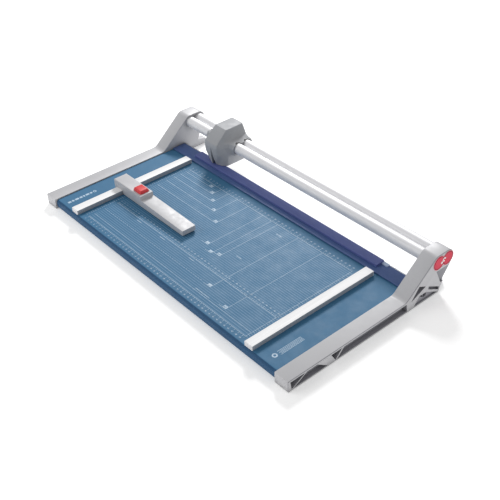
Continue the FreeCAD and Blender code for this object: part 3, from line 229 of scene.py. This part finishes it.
def coated_sheet(name, color):
    """Sheet steel under a smooth satin coat."""
    recipe = Recipe(name, color, roughness=0.55, Specular_IOR_Level=0.22)
    recipe.mottle(scale=5, shade=1.05, detail=4)
    recipe.mottle(scale=900, shade=0.93, amount=0.8)
    recipe.rough(recipe.noise(scale=40, detail=4), low=0.50, high=0.62)
    recipe.bump(recipe.noise(scale=1400, detail=2), distance=0.03 * MM, strength=0.3)
    return recipe.worn_edges(shade=1.35, amount=0.3).material


def clear_plastic(name, color, roughness, passes):
    """Tinted sheet plastic that lets some light through."""
    recipe = Recipe(name, color, roughness, Transmission_Weight=passes, IOR=1.49)
    recipe.mottle(scale=9, shade=0.92)
    recipe.mottle(scale=500, shade=1.08, detail=2, stretch=(0.05, 1, 1), amount=0.5)
    recipe.rough(recipe.noise(scale=50, detail=4), low=roughness - 0.04, high=roughness + 0.10)
    recipe.bump(recipe.noise(scale=220, stretch=(0.1, 1, 1)), distance=0.03 * MM, strength=0.3)
    return recipe.material


def ink(name, color):
    recipe = Recipe(name, color, roughness=0.5, Specular_IOR_Level=0.3)
    recipe.mottle(scale=350, shade=0.88, detail=4)
    recipe.rough(recipe.noise(scale=200, detail=2), low=0.45, high=0.6)
    return recipe.material


ALONG_X = (0.01, 1, 1)
ALONG_Y = (1, 0.01, 1)
MATERIALS = {
    "cast_grey": painted_cast("cast paint", (0.55, 0.55, 0.57)),
    "cap_red": moulded("cap plastic", (0.68, 0.028, 0.070), 0.45, grain=900, shine=0.25),
    "tube_metal": brushed("tube anodised", (0.84, 0.84, 0.86), 0.52, ALONG_X, metallic=0.30),
    "fastener_steel": brushed("fastener steel", (0.55, 0.56, 0.58), 0.35, ALONG_Y),
    "table_blue": coated_sheet("table coat", (0.050, 0.165, 0.300)),
    "beam_steel": coated_sheet("beam coat", (0.16, 0.17, 0.19)),
    "blade_steel": brushed("ground steel", (0.62, 0.63, 0.65), 0.28, ALONG_X),
    "foot_rubber": rubber("foot rubber", (0.02, 0.02, 0.02)),
    "rail_white": brushed("rail anodised", (0.93, 0.93, 0.94), 0.50, ALONG_Y, metallic=0.0),
    "rail_cap_white": moulded("rail cap plastic", (0.72, 0.72, 0.74), 0.45),
    "clear_strip": clear_plastic("clamp sheet", (0.075, 0.135, 0.34), 0.42, passes=0.12),
    "clamp_violet": clear_plastic("clamp bar plastic", (0.115, 0.150, 0.40), 0.40, passes=0.10),
    "pale_tab": moulded("tab plastic", (0.45, 0.55, 0.72)),
    "post_metal": brushed("turned steel", (0.60, 0.61, 0.63), 0.3, ALONG_Y),
    "cup_plastic": moulded("dark moulding", (0.05, 0.05, 0.055), 0.5),
    "spring_steel": brushed("spring wire", (0.50, 0.51, 0.53), 0.3, ALONG_X),
    "stop_grey": moulded("back stop plastic", (0.52, 0.52, 0.54), 0.42),
    "button_red": moulded("button plastic", (0.72, 0.055, 0.060), grain=1100, shine=0.3),
    "shoe_rubber": rubber("shoe rubber", (0.03, 0.03, 0.03)),
    "head_grey": moulded("head plastic", (0.38, 0.39, 0.41), 0.55, 1300, depth=0.08, shine=0.35),
    "lid_grey": moulded("lid plastic", (0.20, 0.21, 0.22), 0.5),
    "bush_black": moulded("bush plastic", (0.02, 0.02, 0.022), 0.45),
    "hub_black": moulded("hub plastic", (0.03, 0.03, 0.032)),
    "roller_rubber": rubber("roller rubber", (0.03, 0.03, 0.032)),
}
PRINT = ink("print ink", (0.48, 0.62, 0.76))
FINE_PRINT = ink("fine print ink", (0.16, 0.32, 0.50))
MARK_WHITE = ink("mark ink", (0.90, 0.90, 0.90))
# painted shade: a darker grey for the walls and floors in the pockets of the end pieces
POCKET_PAINTED_SHADE = painted_cast("cast recess painted shade", (0.31, 0.31, 0.34), recess=0.30)
# painted shade: a darker blue for the faces of the table that face the front
LIP_PAINTED_SHADE = coated_sheet("lip coat painted shade", (0.022, 0.085, 0.185))
# painted shade: a darker grey for the faces of the stop rails that face right
RAIL_SIDE_PAINTED_SHADE = brushed("rail side painted shade", (0.36, 0.39, 0.43), 0.5, ALONG_Y, metallic=0.0)
# painted shade: a dark red for the faces of the groove in the caps
CAP_GROOVE_PAINTED_SHADE = moulded("cap groove painted shade", (0.22, 0.010, 0.028), 0.6)
# painted highlight: a pale pink for the rim at the edge of the caps' faces
CAP_RIM_PAINTED_HIGHLIGHT = moulded("cap rim painted highlight", (0.85, 0.42, 0.47))
NODE_SLOT = {entry["node"]: entry["material_slot"] for entry in frame["record"]["subparts"]}


# ---------------------------------------------------------------- mesh helpers
def new_piece(name, shape, material, body):
    """Link a finished bmesh as a piece of the object."""
    mesh = bpy.data.meshes.new(name)
    shape.to_mesh(mesh)
    shape.free()
    mesh.materials.append(material)
    piece = bpy.data.objects.new(name, mesh)
    bpy.context.scene.collection.objects.link(piece)
    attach(piece, body)
    return piece


EDGE_SEGMENTS = 3
HARD_EDGE = math.radians(30)
WELD = 0.01 * MM
FLAT = math.radians(1)


def bevelled(piece, width):
    """Round the hard edges of a piece, by a width in mm."""
    modifier = piece.modifiers.new("edge rounding", "BEVEL")
    modifier.width = width * MM
    modifier.segments = EDGE_SEGMENTS
    modifier.limit_method = "ANGLE"
    modifier.angle_limit = HARD_EDGE
    modifier.harden_normals = True
    for polygon in piece.data.polygons:
        polygon.use_smooth = True


def clean_copy(node):
    """The mesh of a CAD node, without the edges inside its flat faces."""
    shape = bmesh.new()
    shape.from_mesh(frame["nodes"][node].data)
    bmesh.ops.remove_doubles(shape, verts=shape.verts, dist=WELD)
    bmesh.ops.dissolve_limit(shape, angle_limit=FLAT, verts=shape.verts, edges=shape.edges)
    return shape


def stand_in(node, shape, *others):
    """A piece that takes the place of a CAD node, in its material and then the others."""
    slot = NODE_SLOT[node]
    piece = new_piece(node + "_finished", shape, MATERIALS[slot],
                      frame["nodes"][node]["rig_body"])
    for material in others:
        piece.data.materials.append(material)
    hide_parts(node)
    return piece


def softened(node, width, shade=None, shaded=None):
    """A stand-in with the small edge radii that the real piece has.

    The faces for which shaded(face) holds take the material shade, which in this script is always
    a painted shade."""
    shape = clean_copy(node)
    if shade:
        for face in shape.faces:
            face.material_index = int(shaded(face))
    piece = stand_in(node, shape, *([shade] if shade else []))
    if width:
        bevelled(piece, width)
    return piece


def springs(node):
    """Springs, as a stand-in that has its own copy of the mesh."""
    piece = softened(node, 0)
    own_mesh(piece)


OUTWARD = 0.99
CAP_BANDS = (0.5, 0.8, 1.3)
GROOVE_DEPTH = 0.4
# material slots of the caps: the painted shade of the groove and the painted highlight of the rim
GROOVE_SHADE_SLOT = 1
RIM_HIGHLIGHT_SLOT = 2
MARK_LIFT = 0.03
# place along Y and Z from the middle of a cap, outer and inner radius, share of a full turn
CAP_MARKS = ((1.8, 1.4, 4.4, 2.0, 0.83), (-4.0, -2.8, 2.4, 0.0, 1.0))
DISC_SIDES = 24


def finished_cap(node, side):
    """A cap with a groove around its face and a plain white mark at its waist.

    The bands from the edge of its face are a pale rim, which is a painted edge highlight, a land
    and the groove, whose faces take a painted shade."""
    shape = clean_copy(node)
    face = max((face for face in shape.faces if face.normal.x * side > OUTWARD),
               key=lambda face: face.calc_area())
    rim, _, ring = (bmesh.ops.inset_region(shape, faces=[face], thickness=width * MM,
                                           use_even_offset=True)["faces"]
                    for width in CAP_BANDS)
    # the rim takes the painted highlight
    for part in rim:
        part.material_index = RIM_HIGHLIGHT_SLOT
    sunk = bmesh.ops.extrude_face_region(shape, geom=ring)["geom"]
    corners = {part for part in sunk if isinstance(part, bmesh.types.BMVert)}
    bmesh.ops.translate(shape, verts=list(corners), vec=(-side * GROOVE_DEPTH * MM, 0, 0))
    bmesh.ops.delete(shape, geom=[part for part in ring if part.is_valid], context="FACES_ONLY")
    # the faces around the groove take the painted shade
    for touching in {near for corner in corners for near in corner.link_faces}:
        touching.material_index = GROOVE_SHADE_SLOT
    stand_in(node, shape, CAP_GROOVE_PAINTED_SHADE, CAP_RIM_PAINTED_HIGHLIGHT)
    low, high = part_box(node)
    middle = Vector((high.x if side > 0 else low.x, (low.y + high.y) / 2, (low.z + high.z) / 2))
    mark = bmesh.new()
    for along, above, outer, inner, share in CAP_MARKS:
        place = middle + Vector((side * MARK_LIFT, along, above)) * MM
        ring_on_side(mark, place, side, outer, inner, share)
    new_piece(node + "_mark", mark, MARK_WHITE, frame["nodes"][node]["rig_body"])


def ring_on_side(shape, centre, side, outer, inner, share):
    """Part of a flat ring that faces sideways, in mm around its centre."""
    steps = round(DISC_SIDES * share)
    turns = [2 * math.pi * number / DISC_SIDES for number in range(steps + 1)]
    arms = [[shape.verts.new(centre + Vector((0, math.cos(turn), math.sin(turn))) * reach * MM)
             for reach in (outer, inner)] for turn in turns]
    for this, after in zip(arms, arms[1:]):
        corners = [this[0], after[0], after[1], this[1]]
        shape.faces.new(corners if side > 0 else corners[::-1])


def flat_bar(shape, low, high, base, top):
    """A thin raised rectangle, for printed lines."""
    corners = [(low[0], low[1]), (high[0], low[1]), (high[0], high[1]), (low[0], high[1])]
    lower = [shape.verts.new((x, y, base)) for x, y in corners]
    upper = [shape.verts.new((x, y, top)) for x, y in corners]
    shape.faces.new(upper)
    shape.faces.new(lower[::-1])
    for this in range(len(corners)):
        after = (this + 1) % len(corners)
        shape.faces.new((lower[this], lower[after], upper[after], upper[this]))


# ---------------------------------------------------------------- print on the table
TABLE_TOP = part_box("table_plate")[1].z
STOP_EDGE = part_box("left_stop_rail")[1].x
CUT_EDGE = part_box("counter_blade")[1].y
INK_THICKNESS = 0.04 * MM
LETTER_WEIGHT = 0.02
LETTER_STEPS = 3


class Print:
    """Lines and figures on the table, in mm from the left stop and from the cutting edge."""

    def __init__(self, layer=0):
        self.shape = bmesh.new()
        self.base = TABLE_TOP + layer * INK_THICKNESS

    def block(self, left, right, near, far):
        """near and far are distances from the cutting edge towards the front."""
        low = (STOP_EDGE + left * MM, CUT_EDGE - far * MM)
        high = (STOP_EDGE + right * MM, CUT_EDGE - near * MM)
        flat_bar(self.shape, low, high, self.base, self.base + INK_THICKNESS)

    def disc(self, place, depth, radius):
        """A ring of printed ink with a plain middle."""
        turns = [2 * math.pi * number / DISC_SIDES for number in range(DISC_SIDES)]
        rings = []
        for reach in (radius, radius / 2):
            rings.append([self.shape.verts.new(
                (STOP_EDGE + (place + reach * math.cos(turn)) * MM,
                 CUT_EDGE - (depth + reach * math.sin(turn)) * MM, self.base + INK_THICKNESS))
                for turn in turns])
        outer, inner = rings
        for this in range(DISC_SIDES):
            after = (this + 1) % DISC_SIDES
            self.shape.faces.new((outer[after], outer[this], inner[this], inner[after]))

    def across(self, left, right, depth, width):
        self.block(left, right, depth - width / 2, depth + width / 2)

    def along(self, place, near, far, width):
        self.block(place - width / 2, place + width / 2, near, far)

    def dashes(self, left, right, depth, dash, gap, width):
        place = left
        while place < right:
            self.across(place, min(place + dash, right), depth, width)
            place += dash + gap

    def words(self, text, left, depth, height):
        """Figures whose lower left corner is at left and depth."""
        curve = bpy.data.curves.new("figures", "FONT")
        curve.body = text
        curve.size = height * MM
        curve.offset = height * MM * LETTER_WEIGHT
        curve.resolution_u = LETTER_STEPS
        writer = bpy.data.objects.new("figures", curve)
        bpy.context.scene.collection.objects.link(writer)
        bpy.context.view_layer.update()
        mesh = bpy.data.meshes.new_from_object(
            writer.evaluated_get(bpy.context.evaluated_depsgraph_get()))
        spot = Vector((STOP_EDGE + left * MM, CUT_EDGE - depth * MM, self.base + INK_THICKNESS))
        mesh.transform(Matrix.Translation(spot))
        self.shape.from_mesh(mesh)
        bpy.data.objects.remove(writer)
        bpy.data.curves.remove(curve)
        bpy.data.meshes.remove(mesh)


# line widths
GRID_LINE = 0.9
FORMAT_LINE = 0.6
TICK_LINE = 0.5
SCALE_LINE = 0.7
BAR_LINE = 0.8
# the fine grid, and the frame of the printed field
PITCH = 5
TEN = 10
LINE_START = 18
SCALE_END = 495
SCALE_DEPTH = 64
SCALE_FOOT = 316
FOOT_OVERRUN = 4
FOOT_RULE = 303
# ticks down both sides of the field
SIDE_START = 70
SIDE_GAP = 6
LONG_TICK = 6
SHORT_TICK = 4
# corners of the paper formats: name, length, height, with a label in each corner
FORMATS = (("A3", 420, 297), ("14x11", 355.6, 279.4), ("A4", 297, 210), ("11x8.5", 279.4, 215.9),
           ("10x8", 254, 203), ("A5", 210, 148), ("B6", 176, 125), ("A6", 148, 105),
           ("B7", 125, 88), ("A7", 105, 74))
LABEL_WIDTH = 9
LABEL_HEIGHT = 7
LABEL_MARGIN = 0.8
LABEL_FOOT = 1.2
LABEL_LETTERS = 5.6
SMALL_LETTERS = 3.0
SHORT_NAME = 3
FORMAT_STUB = 9
WHOLE_LINES = 210
# scales along the field: depth, long tick, depth of the figures
SCALES = ((SCALE_DEPTH, 6, 56), (247.6, 5, 239.6), (SCALE_FOOT, 5, 326))
SCALE_START = 20
FIGURE_SHIFT = 1.6
FIGURE_HEIGHT = 4.0
# dashed lines: left, right, depth, dash, gap, width; and captions: left, depth
DASHED = ((LINE_START, 333, 278, 4, 3, 0.5), (340, 378, 299, 2.5, 1.2, 1.6))
NOTES = ((96, 254), (172, 254), (318, 86), (318, 186), (262, 254))
NOTE_LENGTH = 14
NOTE_DASH = (2.2, 1.0, 1.6)
# plain marks on the outer strips: a row of blocks on the left, a few bars on the right
LEFT_MARK = -48
LEFT_BLOCKS = (7, 5, 9, 6, 4, 8, 5)
LEFT_START = 322
LEFT_HEIGHT = 5.5
LEFT_GAP = 2.2
LEFT_DISC = (-2.7, 4, 3.8)
RIGHT_MARK = 557
RIGHT_BARS = 5
RIGHT_PITCH = 2.3
RIGHT_NEAR = 250
RIGHT_FAR = 302
RIGHT_STEP = 3
RIGHT_DISC = (4, 311, 5)


def table_print():
    """Format corners, scales and the fine grid of the table."""
    grid = Print()
    sheet = Print(1)
    figures = Print(2)
    for depth in range(SCALE_DEPTH + PITCH, SCALE_FOOT, PITCH):
        grid.across(LINE_START, SCALE_END, depth, GRID_LINE)
    sheet.along(SCALE_END, SCALE_DEPTH, SCALE_FOOT + FOOT_OVERRUN, FORMAT_LINE)
    for depth in range(SIDE_START, SCALE_FOOT, PITCH):
        tick = SHORT_TICK if depth % TEN else LONG_TICK
        sheet.across(SCALE_END, SCALE_END + tick, depth, TICK_LINE)
        sheet.across(LINE_START - SIDE_GAP - tick, LINE_START - SIDE_GAP, depth, TICK_LINE)
    for name, reach, height in FORMATS:
        corner = reach - LABEL_WIDTH
        sheet.along(reach, SCALE_DEPTH, height - LABEL_HEIGHT, FORMAT_LINE)
        sheet.across(LINE_START if reach <= WHOLE_LINES else corner - FORMAT_STUB, corner, height,
                     FORMAT_LINE)
        sheet.block(corner, reach, height - LABEL_HEIGHT, height)
        figures.words(name, corner + LABEL_MARGIN, height - LABEL_FOOT,
                      LABEL_LETTERS if len(name) <= SHORT_NAME else SMALL_LETTERS)
    for depth, ticks, label_depth in SCALES:
        sheet.across(LINE_START, SCALE_END, depth, SCALE_LINE)
        side = 1 if label_depth < depth else -1
        for place in range(SCALE_START, SCALE_END + 1, PITCH):
            tick = side * (ticks if place % TEN == 0 else ticks / 2)
            sheet.along(place, min(depth, depth - tick), max(depth, depth - tick), TICK_LINE)
        for place in range(SCALE_START, SCALE_END, TEN):
            sheet.words(str(place // TEN), place - FIGURE_SHIFT, label_depth, FIGURE_HEIGHT)
    sheet.across(LINE_START, SCALE_END, FOOT_RULE, TICK_LINE)
    for dashed in DASHED:
        sheet.dashes(*dashed)
    for reach, depth in NOTES:
        sheet.dashes(reach, reach + NOTE_LENGTH, depth, *NOTE_DASH)
    for name, layer, material in (("table_grid", grid, FINE_PRINT), ("table_print", sheet, PRINT),
                                  ("table_figures", figures, MATERIALS["table_blue"])):
        new_piece(name, layer.shape, material, "frame")


def plain_marks():
    """A disc and plain bars on either outer strip of the table."""
    sheet = Print()
    place = LEFT_START
    for length in LEFT_BLOCKS:
        sheet.block(LEFT_MARK - LEFT_HEIGHT, LEFT_MARK, place - length, place)
        place -= length + LEFT_GAP
    offset, gap, radius = LEFT_DISC
    sheet.disc(LEFT_MARK + offset, place - gap, radius)
    for number in range(RIGHT_BARS):
        sheet.along(RIGHT_MARK + RIGHT_PITCH * number, RIGHT_NEAR,
                    RIGHT_FAR - RIGHT_STEP * (number % 2), BAR_LINE)
    offset, depth, radius = RIGHT_DISC
    sheet.disc(RIGHT_MARK + offset, depth, radius)
    new_piece("plain_marks", sheet.shape, PRINT, "frame")


# ---------------------------------------------------------------- camera, light, floor
CAMERA_PLACE = Vector((1.06023, -0.84092, 0.99668))
CAMERA_TURN = math.radians(50.31)
CAMERA_DROP = math.radians(37.02)
CAMERA_ROLL = math.radians(-2.04)
CAMERA_LENS = 62.56
CAMERA_SENSOR = 36
CAMERA_REACH = 30
WORLD_STRENGTH = 0.43
# name, place, target, breadth in metres, power in watts
LIGHTS = (("key", (-1.6, 1.7, 1.62), (0, 0.05, 0), 0.7, 58),
          ("fill", (-1.3, -1.9, 1.6), (0, 0, 0), 2.0, 19),
          ("side", (2.4, 0.9, 0.7), (0.3, 0.1, 0), 1.2, 5))
WHITE = (1, 1, 1, 1)
FLOOR_SIZE = 8
FLOOR_COLOR = (0.93, 0.93, 0.93)
FLOOR_PATCHES = (0.92, 0.92, 0.92)
FLOOR_GLOW = 0.34


def camera():
    """The camera of the photo."""
    turn = CAMERA_TURN
    drop = CAMERA_DROP
    back = Vector((math.sin(turn) * math.cos(drop), -math.cos(turn) * math.cos(drop),
                   math.sin(drop)))
    right = Vector((math.cos(turn), math.sin(turn), 0))
    up = back.cross(right)
    side = math.cos(CAMERA_ROLL) * right + math.sin(CAMERA_ROLL) * up
    rise = math.cos(CAMERA_ROLL) * up - math.sin(CAMERA_ROLL) * right
    data = bpy.data.cameras.new("camera")
    data.lens = CAMERA_LENS
    data.sensor_width = CAMERA_SENSOR
    data.clip_end = CAMERA_REACH
    seen = bpy.data.objects.new("camera", data)
    bpy.context.scene.collection.objects.link(seen)
    pose = Matrix((side, rise, back)).transposed().to_4x4()
    pose.translation = CAMERA_PLACE
    seen.matrix_world = pose
    bpy.context.scene.camera = seen


def softbox(name, place, target, breadth, power):
    data = bpy.data.lights.new(name, "AREA")
    data.shape = "DISK"
    data.size = breadth
    data.energy = power
    lamp = bpy.data.objects.new(name, data)
    bpy.context.scene.collection.objects.link(lamp)
    lamp.location = place
    lamp.rotation_euler = (Vector(target) - Vector(place)).to_track_quat("-Z", "Y").to_euler()


def studio():
    """Even white surroundings, three soft lights and a pale floor."""
    world = bpy.data.worlds.new("studio")
    world.use_nodes = True
    background = world.node_tree.nodes["Background"]
    background.inputs["Color"].default_value = WHITE
    background.inputs["Strength"].default_value = WORLD_STRENGTH
    bpy.context.scene.world = world
    for light in LIGHTS:
        softbox(*light)
    bpy.context.scene.view_settings.view_transform = "Standard"
    shape = bmesh.new()
    bmesh.ops.create_grid(shape, x_segments=1, y_segments=1, size=FLOOR_SIZE)
    mesh = bpy.data.meshes.new("floor")
    shape.to_mesh(mesh)
    shape.free()
    floor = bpy.data.objects.new("floor", mesh)
    bpy.context.scene.collection.objects.link(floor)
    paper = Recipe("floor paper", FLOOR_COLOR, roughness=0.9, Specular_IOR_Level=0.1)
    paper.tint(paper.noise(scale=3), FLOOR_PATCHES)
    paper.shader.inputs["Emission Color"].default_value = WHITE
    paper.shader.inputs["Emission Strength"].default_value = FLOOR_GLOW
    floor.data.materials.append(paper.material)


# ---------------------------------------------------------------- the object
# edge radii in mm
SOFT_EDGES = {
    "clamp_strip": 0.35,
    "clamp_bar": 0.7,
    "backstop_body": 0.7,
    "backstop_button": 0.9,
    "head_housing": 2.4,
}
CAST_EDGE = 0.6
RAIL_EDGE = 0.6
POCKET_MARGIN = 1.5 * MM
RIM_MARGIN = 0.5 * MM
FACES_FRONT = -0.3
FACES_RIGHT = 0.9


def finish_nodes():
    """Procedural materials on every CAD node."""
    for name, node in frame["nodes"].items():
        material = MATERIALS[NODE_SLOT[name]]
        if node.material_slots:
            for entry in node.material_slots:
                entry.material = material
        else:
            node.data.materials.append(material)


def finished_end(node, side):
    """An end piece with painted shade, a darker grey, on the walls and floors in the pockets of
    its outer side.
    """
    low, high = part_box(node)
    inside, outside = sorted((side * low.x, side * high.x))
    # faces inside the pockets take the painted shade
    softened(node, CAST_EDGE, POCKET_PAINTED_SHADE, lambda face:
             min(corner.co.x * side for corner in face.verts) > inside + POCKET_MARGIN
             and face.calc_center_median().x * side < outside - RIM_MARGIN)


def build():
    camera()
    studio()
    finish_nodes()
    for node, width in SOFT_EDGES.items():
        softened(node, width)
    finished_end("left_end_piece", -1)
    finished_end("right_end_piece", 1)
    # the front-facing faces of the table take the painted shade
    softened("table_plate", 0, LIP_PAINTED_SHADE, lambda face: face.normal.y < FACES_FRONT)
    # the right-facing faces of the stop rails take the painted shade
    for node in ("left_stop_rail", "right_stop_rail"):
        softened(node, RAIL_EDGE, RAIL_SIDE_PAINTED_SHADE, lambda face: face.normal.x > FACES_RIGHT)
    finished_cap("left_end_cap", -1)
    finished_cap("right_end_cap", 1)
    springs("clamp_springs")
    springs("backstop_button_spring")
    table_print()
    plain_marks()


build()
